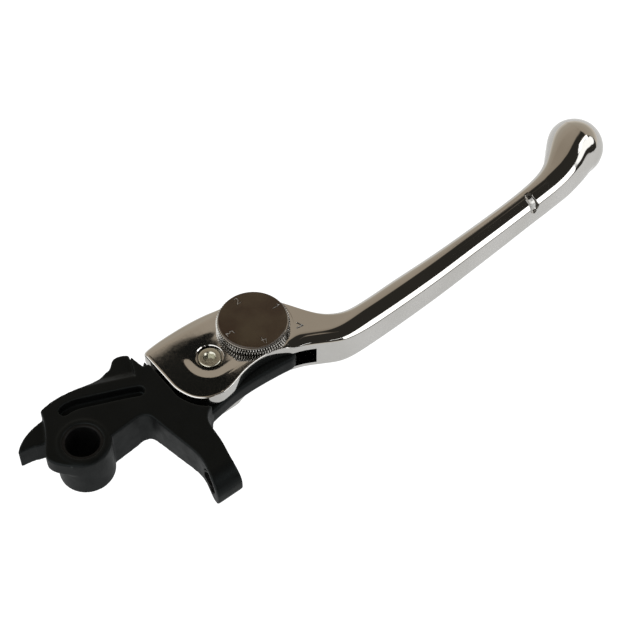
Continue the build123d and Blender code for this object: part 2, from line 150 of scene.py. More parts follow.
def lathe(name, centre, profile, n=192):
    """Turned solid about a vertical axis; profile runs from axis to axis as (r, z), mm."""
    verts, rings = [], []
    for r, z in profile:
        if r < 1e-6:
            rings.append([len(verts)])
            verts.append((centre[0], centre[1], z))
            continue
        rings.append(list(range(len(verts), len(verts) + n)))
        verts += [(x, y, z) for x, y in circle(centre[0], centre[1], r, n)]
    faces = []
    for a, b in zip(rings, rings[1:]):
        for i in range(n):
            j = (i + 1) % n
            if len(a) == 1:
                faces.append((a[0], b[i], b[j]))
            elif len(b) == 1:
                faces.append((a[i], b[0], a[j]))
            else:
                faces.append((a[i], b[i], b[j], a[j]))
    obj = new_object(name, verts, faces)
    fix_normals(obj)
    return obj


def shoulder(r, z, edge, start, n):
    """Profile points round the top edge of a turned part, edge being its radius."""
    angles = np.linspace(start, math.pi / 2, n)
    return [(r - edge * (1 - math.cos(a)), z + edge * math.sin(a)) for a in angles]


def hoop(centre, r0, r1, z0, z1, n=96):
    """Square-edged ring about a vertical axis, mm, to cut with."""
    obj = lathe("cut", centre, [(r0, z0), (r1, z0), (r1, z1), (r0, z1), (r0, z0)], n)
    close_gaps(obj)
    fix_normals(obj)
    return obj


def cubic(keys, values):
    """Smooth curve through the keys: monotone (Fritsch-Carlson) cubic."""
    x = np.array(keys, float)
    y = np.array(values, float)
    h = np.diff(x)
    d = np.diff(y) / h
    m = np.zeros_like(y)
    for i in range(1, len(x) - 1):
        if d[i - 1] * d[i] > 0:
            w1, w2 = 2 * h[i] + h[i - 1], h[i] + 2 * h[i - 1]
            m[i] = (w1 + w2) / (w1 / d[i - 1] + w2 / d[i])
    m[0], m[-1] = d[0], d[-1]

    def at(q):
        i = int(np.clip(np.searchsorted(x, q) - 1, 0, len(h) - 1))
        t = (q - x[i]) / h[i]
        a = (1 + 2 * t) * (1 - t) ** 2 * y[i] + t * (1 - t) ** 2 * h[i] * m[i]
        return a + t * t * (3 - 2 * t) * y[i + 1] + t * t * (t - 1) * h[i] * m[i + 1]

    return at


def spline(keys, values):
    """Natural cubic spline through the keys."""
    x = np.array(keys, float)
    y = np.array(values, float)
    n = len(x)
    h = np.diff(x)
    a = np.zeros((n, n))
    b = np.zeros(n)
    a[0, 0] = a[-1, -1] = 1
    for i in range(1, n - 1):
        a[i, i - 1 : i + 2] = h[i - 1], 2 * (h[i - 1] + h[i]), h[i]
        b[i] = 6 * ((y[i + 1] - y[i]) / h[i] - (y[i] - y[i - 1]) / h[i - 1])
    m = np.linalg.solve(a, b)

    def at(q):
        i = int(np.clip(np.searchsorted(x, q) - 1, 0, n - 2))
        u, v = x[i + 1] - q, q - x[i]
        s = (m[i] * u ** 3 + m[i + 1] * v ** 3) / (6 * h[i])
        return s + (y[i] / h[i] - m[i] * h[i] / 6) * u + (y[i + 1] / h[i] - m[i + 1] * h[i] / 6) * v

    return at


def curve_through(points, per=6):
    """Points along a smooth open curve through the given 2-D points."""
    pts = np.array(points, float)
    t = np.concatenate([[0], np.cumsum(np.sqrt(np.linalg.norm(np.diff(pts, axis=0), axis=1)))])
    fx, fy = spline(t, pts[:, 0]), spline(t, pts[:, 1])
    out = []
    for a, b in zip(t, t[1:]):
        out += [(fx(q), fy(q)) for q in np.linspace(a, b, per, endpoint=False)]
    return out + [(fx(t[-1]), fy(t[-1]))]


# ==== materials =======================================================================
def node_material(name):
    """New material with its node tree and its shader."""
    mat = bpy.data.materials.new(name)
    mat.use_nodes = True
    tree = mat.node_tree
    return mat, tree, tree.nodes["Principled BSDF"]


def noise(tree, scale, detail=4.0, rough=0.5):
    """Noise fixed to the object, scale in cycles per metre."""
    tex = tree.nodes.new("ShaderNodeTexNoise")
    tex.inputs["Scale"].default_value = scale
    tex.inputs["Detail"].default_value = detail
    tex.inputs["Roughness"].default_value = rough
    coord = tree.nodes.new("ShaderNodeTexCoord")
    tree.links.new(coord.outputs["Object"], tex.inputs["Vector"])
    return tex.outputs["Fac"]


def remap(tree, fac, lo, hi, start=0.3, end=0.7):
    """Stretches start..end of a value to lo..hi."""
    node = tree.nodes.new("ShaderNodeMapRange")
    node.inputs["From Min"].default_value = start
    node.inputs["From Max"].default_value = end
    node.inputs["To Min"].default_value = lo
    node.inputs["To Max"].default_value = hi
    tree.links.new(fac, node.inputs["Value"])
    return node.outputs["Result"]


def mix_colour(tree, fac, a, b):
    """Colour between a and b."""
    node = tree.nodes.new("ShaderNodeMix")
    node.data_type = "RGBA"
    node.inputs[6].default_value = (*a, 1)
    node.inputs[7].default_value = (*b, 1)
    tree.links.new(fac, node.inputs[0])
    return node.outputs[2]


def paint(tree, shader, fac, a, b):
    """Base colour that drifts from a to b."""
    tree.links.new(mix_colour(tree, fac, a, b), shader.inputs["Base Color"])


def gloss(tree, shader, fac, low, high):
    """Roughness that varies from low to high."""
    tree.links.new(remap(tree, fac, low, high), shader.inputs["Roughness"])


def bump(tree, shader, height, distance, strength=1.0):
    """Fine relief from a height value, distance in metres."""
    node = tree.nodes.new("ShaderNodeBump")
    node.inputs["Distance"].default_value = distance
    node.inputs["Strength"].default_value = strength
    tree.links.new(height, node.inputs["Height"])
    tree.links.new(node.outputs["Normal"], shader.inputs["Normal"])


def metal(name, dark, light, rough, grain, bump_mm=0.0):
    """Metal with a faint colour drift, uneven gloss and fine surface grain."""
    mat, tree, shader = node_material(name)
    shader.inputs["Metallic"].default_value = 1.0
    paint(tree, shader, remap(tree, noise(tree, 60.0, 2.0), 0, 1), dark, light)
    fine = noise(tree, grain, 5.0, 0.6)
    gloss(tree, shader, fine, *rough)
    if bump_mm:
        bump(tree, shader, fine, bump_mm * MM)
    return mat


def black_casting():
    """Black-finished casting: satin, slightly mottled, with a fine blasted grain and paler edges, a painted
    edge highlight.
    """
    mat, tree, shader = node_material("black_casting")
    tone = remap(tree, noise(tree, 90.0, 4.0), 0, 1)
    mottled = mix_colour(tree, tone, (0.0022, 0.0023, 0.0023), (0.0038, 0.0039, 0.0039))
    geometry = tree.nodes.new("ShaderNodeNewGeometry")
    # sharp edges found by pointiness get a paler colour: painted edge highlight
    edge = remap(tree, geometry.outputs["Pointiness"], 0.0, 1.0, 0.515, 0.60)
    mix = tree.nodes.new("ShaderNodeMix")
    mix.data_type = "RGBA"
    mix.inputs[7].default_value = (0.022, 0.024, 0.024, 1)
    tree.links.new(edge, mix.inputs[0])
    tree.links.new(mottled, mix.inputs[6])
    tree.links.new(mix.outputs[2], shader.inputs["Base Color"])
    shader.inputs["Specular IOR Level"].default_value = 0.13
    shader.inputs["Specular Tint"].default_value = (0.80, 0.96, 1.0, 1)
    gloss(tree, shader, noise(tree, 300.0, 3.0), 0.40, 0.52)
    bump(tree, shader, noise(tree, 2600.0, 3.0, 0.6), 0.02 * MM, 0.8)
    return mat


def brown_anodised():
    """Dark brown glossy disc with a cloudy colour."""
    mat, tree, shader = node_material("brown_cap")
    cloud = remap(tree, noise(tree, 110.0, 3.0), 0, 1, 0.35, 0.65)
    paint(tree, shader, cloud, (0.033, 0.018, 0.009), (0.052, 0.036, 0.020))
    shader.inputs["Specular IOR Level"].default_value = 0.5
    gloss(tree, shader, noise(tree, 500.0, 4.0), 0.16, 0.26)
    return mat


def painted_shade_material():
    """Dull dark metal, painted shade: it goes in the valleys of the knurl, on the shaded side of the notch
    and in the nick.
    """
    mat, tree, shader = node_material("painted_shade_dark")
    shader.inputs["Metallic"].default_value = 1.0
    tone = remap(tree, noise(tree, 1800.0, 3.0), 0, 1)
    paint(tree, shader, tone, (0.015, 0.014, 0.012), (0.09, 0.085, 0.075))
    gloss(tree, shader, noise(tree, 1500.0, 4.0), 0.3, 0.5)
    return mat


def dark_sleeve():
    """Black oxide steel with uneven gloss."""
    mat, tree, shader = node_material("dark_sleeve")
    tone = remap(tree, noise(tree, 500.0), 0, 1)
    paint(tree, shader, tone, (0.003, 0.003, 0.003), (0.006, 0.006, 0.006))
    shader.inputs["Specular IOR Level"].default_value = 0.15
    gloss(tree, shader, noise(tree, 1500.0), 0.4, 0.6)
    return mat


def seal_rubber():
    """Matt black rubber."""
    mat, tree, shader = node_material("seal_rubber")
    tone = remap(tree, noise(tree, 400.0), 0, 1)
    paint(tree, shader, tone, (0.012, 0.012, 0.012), (0.022, 0.022, 0.022))
    shader.inputs["Roughness"].default_value = 0.6
    bump(tree, shader, noise(tree, 3000.0), 0.01 * MM)
    return mat


chrome = metal("chrome_plate", (0.535, 0.525, 0.505), (0.595, 0.585, 0.57), (0.04, 0.075), 900.0)
satin = metal("satin_plate", (0.56, 0.56, 0.55), (0.64, 0.64, 0.63), (0.34, 0.46), 900.0)
zinc = metal("zinc_screw", (0.48, 0.475, 0.40), (0.56, 0.555, 0.48), (0.18, 0.30), 1500.0, 0.004)
steel = metal("ground_steel", (0.45, 0.45, 0.45), (0.55, 0.55, 0.55), (0.2, 0.34), 2500.0, 0.005)
spring_steel = metal("spring_wire", (0.28, 0.28, 0.29), (0.36, 0.36, 0.37), (0.25, 0.4), 2500.0, 0.004)
bronze = metal("sintered_bronze", (0.36, 0.22, 0.10), (0.48, 0.31, 0.15), (0.3, 0.45), 3000.0, 0.01)
casting = black_casting()
brown = brown_anodised()
rubber = seal_rubber()
dark_steel = dark_sleeve()
# dark material that paints shade into the knurl valleys and the notch
painted_shade = painted_shade_material()


def dress(obj, mat):
    """Gives the object one material."""
    obj.data.materials.clear()
    obj.data.materials.append(mat)


def dress_node(node, mat):
    """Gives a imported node's own mesh another material."""
    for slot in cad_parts[node].material_slots:
        slot.material = mat


# ==== lever blade ====================================================================
# plan outline: front and back edges against x
front_edge = spline(
    [41.0, 44.0, 47.0, 50.0, 53.0, 57.0, 60.0, 63.0, 66.5, 70.0, 73.0, 76.0, 79.0, 82.0, 86.0, 92.0,
     105.0, 120.0, 135.0, 150.0, 162.0, 170.0, 176.0, 182.0, 187.0, 190.9],
    [-11.4, -11.0, -10.15, -9.2, -8.6, -8.4, -8.65, -9.4, -10.7, -12.0, -13.55, -15.25, -16.85, -17.8,
     -18.25, -18.35, -18.1, -17.45, -16.4, -15.3, -14.35, -13.75, -13.2, -12.6, -11.95, -11.25],
)
back_edge = spline(
    [38.0, 42.0, 46.0, 50.3, 55.0, 58.4, 62.0, 65.5, 68.8, 72.0, 74.6, 77.0, 80.0, 83.0, 87.0, 92.0,
     105.0, 120.0, 135.0, 150.0, 162.0, 168.0, 172.0, 175.0, 178.0, 181.0, 184.0, 187.0, 189.2, 190.9],
    [15.75, 15.87, 15.85, 15.6, 14.85, 14.0, 13.2, 12.0, 10.2, 7.3, 3.7, -0.4, -4.8, -7.4, -9.1, -9.65,
     -9.4, -9.2, -8.6, -7.7, -6.6, -5.65, -4.6, -3.3, -1.2, 1.4, 4.1, 6.3, 7.4, 7.75],
)
half_height = cubic(
    [40.0, 80.0, 92.0, 120.0, 135.0, 150.0, 162.0, 170.0, 175.0, 180.0, 185.0, 188.5, 190.9],
    [6.5, 6.5, 6.3, 6.1, 6.0, 5.85, 5.75, 5.85, 6.3, 7.3, 8.55, 9.2, 9.5],
)
# how far each section has turned from a rounded bar into a ball
ballness = cubic([40.0, 166.0, 176.0, 184.0, 190.9, 201.0], [0, 0, 0.2, 0.65, 1, 1])
# widths and tilts of the facets along the front top edge: slope, ridge and brow, top to front
slope_width = cubic(
    [40.0, 63.5, 67.0, 70.0, 80.0, 90.0, 160.0, 180.0, 191.0],
    [0, 0, 1.9, 2.6, 2.8, 3.0, 3.0, 3.0, 3.0],
)
ridge_width = cubic(
    [40.0, 64.0, 69.0, 72.0, 78.0, 82.0, 86.0, 92.0, 160.0, 191.0],
    [0, 0, 0.12, 0.4, 0.45, 0.6, 0.85, 1.1, 1.1, 1.3],
)
brow_width = cubic([40.0, 68.0, 71.0, 191.0], [0.0, 0.0, 0.2, 0.2])
# radii of the front and back top edges
edge_round = cubic([40.0, 60.0, 74.0, 84.0, 92.0, 191.0], [0.45, 0.5, 0.7, 0.55, 0.5, 0.5])
back_round = cubic([40.0, 50.0, 62.0, 76.0, 90.0, 170.0, 191.0], [1.0, 1.0, 0.9, 1.6, 2.8, 3.0, 3.0])
SLOPE = math.radians(27.0)
RIDGE = math.radians(42.0)
BROW = math.radians(57.0)
ARC = 7                   # points on each rounded corner; the back top corner has three times as many
EARS_LOW_R = 0.6          # radius of the bottom edges of the ears


def arc_points(c, r, a0, a1, n):
    """Points on an arc round c, from angle a0 to a1."""
    return [(c[0] + r * math.cos(a), c[1] + r * math.sin(a)) for a in np.linspace(a0, a1, n)]


def corner(n0, s0, n1, s1, r):
    """Centre of the arc of radius r tangent to two edges given by normal angle and distance."""
    m = np.array([[math.cos(n0), math.sin(n0)], [math.cos(n1), math.sin(n1)]])
    return np.linalg.solve(m, [s0 - r, s1 - r])


def section(x):
    """Closed ring of (y, z) points round the blade at x, the same count everywhere."""
    if x >= BALL_C[0]:
        r = math.sqrt(max(BALL_R ** 2 - (x - BALL_C[0]) ** 2, 1e-9))
        yf, yb, h = BALL_C[1] - r, BALL_C[1] + r, r
    else:
        yf, yb, h = front_edge(x), back_edge(x), half_height(x)
    b = float(np.clip(ballness(x), 0, 1))
    yc, half = (yf + yb) / 2, (yb - yf) / 2
    r0 = edge_round(x)
    rb = min(back_round(x), half * 0.9)
    # support distances of the edges of the bar shape, from the front face round over the top
    top, brow = math.pi / 2, math.pi / 2 + BROW
    slope, ridge = math.pi / 2 + SLOPE, math.pi / 2 + RIDGE
    widths = (
        ("brow", BROW, brow_width(x)),
        ("ridge", RIDGE, ridge_width(x)),
        ("slope", SLOPE, slope_width(x)),
    )
    q = np.array([-half, h - sum(w * math.tan(t) for _, t, w in widths)])
    c0 = np.array([-half + r0, h - r0])
    s = {"bottom": h, "front": half, "top": h, "back": half}
    for key, tilt, width in widths:
        normal = np.array([-math.sin(tilt), math.cos(tilt)])
        s[key] = min(normal @ q, normal @ c0 + r0)
        q = q + np.array([width, width * math.tan(tilt)])
    ridge_w, slope_w = widths[1][2], widths[2][2]
    radii = {
        "low": 1.3,
        "edge": r0,
        "lip": r0 + 0.1,
        "mid": r0 + 0.35 * ridge_w,
        "crest": r0 + 1.6 * slope_w,
        "back": rb,
        "under": max(rb * 0.9, 0.9),
    }
    if x < EARS_END:
        radii["low"] = EARS_LOW_R
        radii["under"] = rb
    # turn into a ball: all edges at the same distance, all corners with the same radius
    reach = {"front": half, "back": half, "top": h, "bottom": h}
    for k in s:
        s[k] += b * (reach.get(k, (half + h) / 2) - s[k])
    for k in radii:
        radii[k] += b * (min(half, h) - radii[k])
    order = [
        ("bottom", -math.pi / 2, "front", -math.pi, "low", ARC),
        ("front", math.pi, "brow", brow, "edge", ARC),
        ("brow", brow, "ridge", ridge, "lip", ARC),
        ("ridge", ridge, "slope", slope, "mid", ARC),
        ("slope", slope, "top", top, "crest", ARC),
        ("top", top, "back", 0.0, "back", 3 * ARC),
        ("back", 0.0, "bottom", -math.pi / 2, "under", ARC),
    ]
    ring = []
    for k0, a0, k1, a1, key, n in order:
        c = corner(a0, s[k0], a1, s[k1], radii[key])
        ring += arc_points(c, radii[key], a0, a1, n)
    return [(yc + y, z) for y, z in ring]


def blade_mesh():
    """Blade without its holes: sections from LOFT_START to the tip of the ball, and the ears' left end."""
    stations = list(np.arange(LOFT_START, EARS_END, 1.0)) + list(np.arange(EARS_END, 96.0, 0.5))
    stations += list(np.arange(96.0, 156.0, 2.0)) + list(np.arange(156.0, BALL_C[0], 0.4))
    stations += [BALL_C[0] + BALL_R * math.sin(math.radians(a)) for a in np.arange(0.0, 89.0, 3.0)]
    rings = [section(x) for x in stations]
    n = len(rings[0])
    verts = []
    for x, ring in zip(stations, rings):
        verts += [(x, y, z) for y, z in ring]
    tip = len(verts)
    verts.append((BALL_C[0] + BALL_R, BALL_C[1], 0.0))
    faces = []
    for i in range(len(stations) - 1):
        for j in range(n):
            k = (j + 1) % n
            faces.append((i * n + j, (i + 1) * n + j, (i + 1) * n + k, i * n + k))
    last = (len(stations) - 1) * n
    faces += [(last + j, tip, last + (j + 1) % n) for j in range(n)]
    # rounded left end of the ears, between the front and back of the first ring
    left = curve_through([(LOFT_START, front_edge(LOFT_START)), (38.0, -10.75), (35.5, -9.5), (33.2, -7.2),
                          (31.9, -4.6), (31.05, -1.6), (30.9, 1.5)], 6)
    left += [(30.9, y) for y in (4.0, 7.0, 10.0, 12.6)]
    left += curve_through([(30.93, 13.4), (31.25, 14.35), (32.3, 14.95), (34.6, 15.4), (37.5, 15.7),
                           (LOFT_START, back_edge(LOFT_START))], 5)
    m = len(left)
    front_ring = list(range(0, 5 * ARC))
    back_ring = list(range(5 * ARC, 9 * ARC))
    prev = None
    inner_top, inner_low = [], []
    pts = np.array(left)
    for i in range(m):
        if i == 0:
            ids = front_ring
        elif i == m - 1:
            # back half of the first ring, reordered from the bottom to the top
            ids = back_ring[3 * ARC:][::-1] + back_ring[:3 * ARC][::-1]
        else:
            t = pts[min(i + 1, m - 1)] - pts[i - 1]
            t /= np.linalg.norm(t)
            inward = np.array([t[1], -t[0]])
            share = i / (m - 1)
            r_top = (1 - share) * edge_round(LOFT_START) + share * back_round(LOFT_START)
            r_low = (1 - share) * EARS_LOW_R + share * back_round(LOFT_START)
            ids = []
            for a in np.linspace(-math.pi / 2, 0.0, ARC):
                off = r_low * (1 - math.cos(a))
                ids.append(len(verts))
                x, y = pts[i][0] + inward[0] * off, pts[i][1] + inward[1] * off
                verts.append((x, y, -TOP + r_low + r_low * math.sin(a)))
            for a in np.linspace(0.0, math.pi / 2, 3 * ARC):
                off = r_top * (1 - math.cos(a))
                ids.append(len(verts))
                x, y = pts[i][0] + inward[0] * off, pts[i][1] + inward[1] * off
                verts.append((x, y, TOP - r_top + r_top * math.sin(a)))
        inner_low.append(ids[0])
        inner_top.append(ids[-1])
        if prev:
            for j in range(len(ids) - 1):
                faces.append((prev[j], prev[j + 1], ids[j + 1], ids[j]))
        prev = ids
    faces.append(inner_top)
    faces.append(inner_low[::-1])
    obj = new_object("lever_blade_body", verts, faces)
    fix_normals(obj)
    return obj


def step(t):
    """Smooth ramp from 0 at t = 0 to 1 at t = 1."""
    t = min(max(t, 0.0), 1.0)
    return t * t * (3 - 2 * t)


# line along the back of the ears where the polished top starts to fall away
CREASE_ENDS = (30.0, 64.0)
crease = cubic(
    [30.0, 31.5, 34.0, 38.0, 45.0, 50.0, 56.0, 60.0, 64.0],
    [13.8, 13.3, 13.1, 13.0, 12.7, 12.4, 12.0, 12.4, 13.5],
)
POLISH_GRID = 0.55        # spacing of the grid that lets the top dip
POLISH_END = 64.0         # x where the dips have run out


def hollow(x, y):
    """How far the polished top dips at a point, mm: a shoulder at the back and a dip round the screw."""
    beyond = y - crease(min(max(x, CREASE_ENDS[0]), CREASE_ENDS[1]))
    drop = 0.24 * max(beyond, 0.0) * step((beyond + 0.2) / 0.9) * step((CREASE_ENDS[1] - x) / 6.0)
    below = math.hypot(min(x - HINGE[0], 0.0), min(y - HINGE[1], 0.0))
    near = 1 - step((below - 4.6) / 3.4)
    drop += 0.22 * near * (1 - step((y - 1.0) / 8.0)) * (1 - step((x - 54.0) / 9.0))
    drop += 0.012 * math.sin(x * 0.31 + 1.0) * math.sin(y * 0.27 + 0.6) * step((60.0 - x) / 10.0)
    return drop


def polish_head(obj):
    """Adds a grid to the flat top of the ears and lets it dip."""
    bm = bmesh.new()
    bm.from_mesh(obj.data)
    planes = [((0, y * MM, 0), (0, 1, 0)) for y in np.arange(-10.6, 15.5, POLISH_GRID)]
    planes += [((x * MM, 0, 0), (1, 0, 0)) for x in np.arange(31.6, 62.0, POLISH_GRID)]
    for co, no in planes:
        flat = [f for f in bm.faces if f.normal.z > 0.999 and f.verts[0].co.x < 63.0 * MM]
        geom = list({v for f in flat for v in f.verts} | {e for f in flat for e in f.edges}) + flat
        bmesh.ops.bisect_plane(bm, geom=geom, plane_co=co, plane_no=no)
    for v in bm.verts:
        if v.co.z > 3.0 * MM and v.co.x < POLISH_END * MM:
            v.co.z -= hollow(v.co.x / MM, v.co.y / MM) * MM
    bm.to_mesh(obj.data)
    bm.free()


blade = blade_mesh()
polish_head(blade)

# slot for the tongue and the cam
CAM_ROOM_R = 6.4
slot_outline = [(29, -26), (73.4, -26), (73.4, -8), (70.4, 0.6)]
slot_outline += [polar(KNOB, CAM_ROOM_R, t) for t in np.linspace(-12.6, 90.0, 24)]
slot_outline += [(55, 8.4), (55, 20), (29, 20)]
cut(blade, prism(slot_outline, SLOT_BOTTOM, SLOT_TOP))
cut(blade, prism([(28, -14), (51, -14), (51, -10), (28, -10)], -7, SLOT_BOTTOM + 0.002))
# screw seat with a small chamfer, screw hole and nut seat
HEAD_SEAT_Z = 3.7
NUT_FLATS = 7.3
head_seat = [(0, HEAD_SEAT_Z), (4.1, HEAD_SEAT_Z), (4.1, 6.15), (4.5, 6.55), (4.5, 8), (0, 8)]
cut(blade, lathe("cut", HINGE, head_seat, 96))
cut(blade, prism(circle(*HINGE, 2.1, 48), -8, 5))
cut(blade, prism(hexagon(HINGE, NUT_FLATS), -8, -5.8))
# bearing bore, seal groove, detent hole, hole for the leg of the spring
cut(blade, prism(circle(*KNOB, 4.2), -8, 8))
cut(blade, hoop(KNOB, 4.7, 5.9, 5.7, 8.0))
cut(blade, prism(circle(*polar(KNOB, TRACK_R, DETENT_ANGLE), 1.05, 48), 3.1, 8))
# the leg's hole is a short slot, as long as the blade's swing
LEG_AT, LEG_HOLE_R, SWING = 6.8, 0.6, math.radians(4.5)
leg_slot = []
for turn, first in ((0.0, math.pi), (SWING, SWING)):
    for t in np.linspace(first, first + math.pi, 13):
        leg_slot.append((HINGE[0] + LEG_AT * math.cos(turn) + LEG_HOLE_R * math.cos(t),
                         HINGE[1] + LEG_AT * math.sin(turn) + LEG_HOLE_R * math.sin(t)))
cut(blade, prism(leg_slot, SLOT_BOTTOM - 1.4, SLOT_BOTTOM + 0.1))
# shallow seat round the knob, and a lower step where the seat meets the front of the neck
knob_seat = [polar(KNOB, KNOB_R + 1.1, t) for t in range(40, -44, -3)]
knob_seat += [(70.0, -7.0), (69.3, -8.0), (66.0, -6.0), (61.0, 3.0)]
cut(blade, prism(knob_seat, 6.1, 8))
front_step = [(69.9, -6.8), (69.4, -8.4), (69.2, -10.0), (69.2, -16.0), (62.0, -16.0), (62.0, -3.0)]
cut(blade, prism(front_step, 5.0, 8))


def capsule(points, r, n=24):
    """Round-ended tube along a few points, mm: spheres and cylinders melted together."""
    bm = bmesh.new()
    for p in points:
        place = Matrix.Translation(Vector(p) * MM)
        bmesh.ops.create_uvsphere(bm, u_segments=n, v_segments=n // 2, radius=r * MM, matrix=place)
    for a, b in zip(points, points[1:]):
        va, vb = Vector(a) * MM, Vector(b) * MM
        axis = vb - va
        place = Matrix.Translation((va + vb) / 2) @ axis.to_track_quat("Z", "Y").to_matrix().to_4x4()
        thick = r * MM * 0.998      # a hair thinner than the spheres, so the surfaces don't coincide
        bmesh.ops.create_cone(bm, cap_ends=True, segments=n, radius1=thick, radius2=thick,
                              depth=axis.length, matrix=place)
    mesh = bpy.data.meshes.new("cut")
    bm.to_mesh(mesh)
    bm.free()
    obj = bpy.data.objects.new("cut", mesh)
    bpy.context.scene.collection.objects.link(obj)
    joined = obj.modifiers.new("joined", "REMESH")
    joined.mode = "VOXEL"
    joined.voxel_size = 0.06 * MM
    smooth = obj.modifiers.new("smooth", "SMOOTH")
    smooth.iterations = 4
    apply_modifiers(obj)
    return obj


# snap-off notch: over the front top edge and down the front face, and a nick at its foot
GROOVE_R = 2.2
groove = [Vector((161.3, y, z)) for y, z in
          [(-11.7, 6.9), (-12.8, 6.3), (-13.8, 5.66), (-14.7, 4.75), (-15.2, 3.8), (-15.35, 2.9)]]
cut(blade, capsule(groove, GROOVE_R))
NICK = Vector((161.5, -14.5, 0.9))
cut(blade, capsule([NICK, NICK + Vector((0, 1.2, 0))], 0.75, 16))
# index mark beside the knob: an arrowhead cut into the top, with a dark line on its floor
MARK_AT = (73.0, -6.3)
MARK_TURN = math.radians(143.0)
MARK_Z, MARK_FLOOR_Z = 6.52, 6.22
mark = []
for u, v in ((0.9, 0.95), (-0.9, 0.0), (0.9, -0.95)):
    mark.append((MARK_AT[0] + u * math.cos(MARK_TURN) - v * math.sin(MARK_TURN),
                 MARK_AT[1] + u * math.sin(MARK_TURN) + v * math.cos(MARK_TURN), MARK_Z))
cut(blade, capsule(mark, 0.24))
close_gaps(blade)
shade(blade, 22)
dress(blade, chrome)
blade.data.materials.append(satin)
# third material: the dark painted shade for the notch and the nick
blade.data.materials.append(painted_shade)


def to_line(p, points):
    """Distance from p to a broken line through the points."""
    nearest = 1e9
    for a, b in zip(points, points[1:]):
        t = min(max((p - a).dot(b - a) / (b - a).length_squared, 0.0), 1.0)
        nearest = min(nearest, (p - a - (b - a) * t).length)
    return nearest


# the notch is duller than the plating: satin, with painted shade in a dark material on its shaded side and
# in the nick
SATIN, PAINTED_SHADE = 1, 2
for face in blade.data.polygons:
    c = face.center / MM
    if 158.5 < c.x < 164.5 and c.y < -9.0 and c.z > -1.5:
        if abs(to_line(c, groove) - GROOVE_R) < 0.12:
            shaded = face.normal.x < -0.42 or (c.y > -11.6 and face.normal.x < 0.25)
            face.material_index = PAINTED_SHADE if shaded else SATIN
        elif c.y > -14.3 and math.hypot(c.x - NICK.x, c.z - NICK.z) < 0.62 and c.z < 2:
            face.material_index = PAINTED_SHADE
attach(blade, "blade")
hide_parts("lever_blade")
mark_fill = capsule([(x, y, MARK_FLOOR_Z) for x, y, z in mark], 0.2)
mark_fill.name = "index_mark_fill"
dress(mark_fill, dark_steel)
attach(mark_fill, "blade")

# ==== actuator arm: the casting with its edges softened ==============================
arm = bpy.data.objects.new("actuator_arm_casting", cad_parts["actuator_arm"].data.copy())
bpy.context.scene.collection.objects.link(arm)
# the tip of the hook ends a little sooner, along a curve
beyond_tip = [(-18, 11.1), (-16.3, 10.3), (-14.9, 9.75), (-12.3, 9.35), (-10.5, 8.85)]
cut(arm, prism(beyond_tip + [(-10.5, 6.5), (-18, 6.5)], -6, 5))
remesh = arm.modifiers.new("remesh", "REMESH")
remesh.mode = "VOXEL"
remesh.voxel_size = 0.28 * MM
soft = arm.modifiers.new("soft", "SMOOTH")
soft.factor = 0.5
soft.iterations = 12
apply_modifiers(arm)
shade(arm, 70, weighted=False)
dress(arm, casting)
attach(arm, "arm")
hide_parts("actuator_arm")

# ==== knurled ring ====================================================================
def knurled_ring():
    """Ring with two rows of sharp teeth, half a tooth apart, and a smooth lip at the top."""
    teeth, per, depth = 84, 8, 0.85
    cols = teeth * per
    # each row of points: its height, how far the teeth stand out there (below 0 for the lip), its phase
    tooth = ((0.0, 0.0), (0.12, 0.45), (0.3, 1.0), (0.98, 1.0), (1.16, 0.45), (1.26, 0.0))
    rows = []
    for k, z in enumerate((6.62, 7.98)):
        rows += [(z + up, lift, k) for up, lift in tooth]
    rows += [(9.3, -0.6, 0), (9.34, -1.0, 0), (9.43, -1.0, 0), (9.45, -0.8, 0)]
    verts, faces = [], []
    for z, lift, phase in rows:
        for i in range(cols):
            a = 2 * math.pi * i / cols
            saw = abs(((i + phase * per / 2) % per) / per * 2 - 1)
            r = KNOB_R - depth + depth * lift * saw if lift >= 0 else KNOB_R - 0.7 - 0.15 * lift
            verts.append((KNOB[0] + r * math.cos(a), KNOB[1] + r * math.sin(a), z))
    n = len(rows)
    for k in range(n - 1):
        for i in range(cols):
            j = (i + 1) % cols
            faces.append((k * cols + i, k * cols + j, (k + 1) * cols + j, (k + 1) * cols + i))
    faces.append(list(range(cols))[::-1])
    faces.append([(n - 1) * cols + i for i in range(cols)])
    obj = new_object("adjuster_knob_ring", verts, faces)
    fix_normals(obj)
    dress(obj, chrome)
    obj.data.materials.append(painted_shade)
    # painted shade: the valleys and flanks get the dark material, the tips of the teeth are bright
    for face in obj.data.polygons:
        c = face.center / MM
        r = math.hypot(c.x - KNOB[0], c.y - KNOB[1])
        if KNOB_R - 1.2 < r < KNOB_R - 0.42 and c.z < 9.3:
            face.material_index = 1
    return obj


ring = knurled_ring()
cut(ring, lathe("cut", KNOB, [(0, 5.0), (3.05, 5.0), (3.05, 12.0), (0, 12.0)], 64))
# track of the detent ball, with a round dimple at each click
cut(ring, hoop(KNOB, TRACK_R - 1.3, TRACK_R + 1.3, 5.0, 7.2))
DIMPLE_R, DIMPLE_Z = 1.35, 6.45
dimple = [(DIMPLE_R * math.sin(t), DIMPLE_Z - DIMPLE_R * math.cos(t)) for t in np.linspace(0.0, math.pi, 17)]
for click in range(4):
    cut(ring, lathe("cut", polar(KNOB, TRACK_R, DETENT_ANGLE + 90.0 * click), dimple, 32))
shade(ring, 40, weighted=False)
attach(ring, "adjuster")
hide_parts("adjuster_knob")

# ==== cap ============================================================================
cap_profile = [(0, 9.46), (CAP_R - 0.15, 9.46), (CAP_R, 9.6), (CAP_R, 9.85)]
cap_profile += shoulder(CAP_R, 9.85, 0.35, 0.1, 8)
cap_profile += [(CAP_R - 0.6, CAP_TOP), (0, CAP_TOP)]
cap = lathe("knob_cap_disc", KNOB, cap_profile)
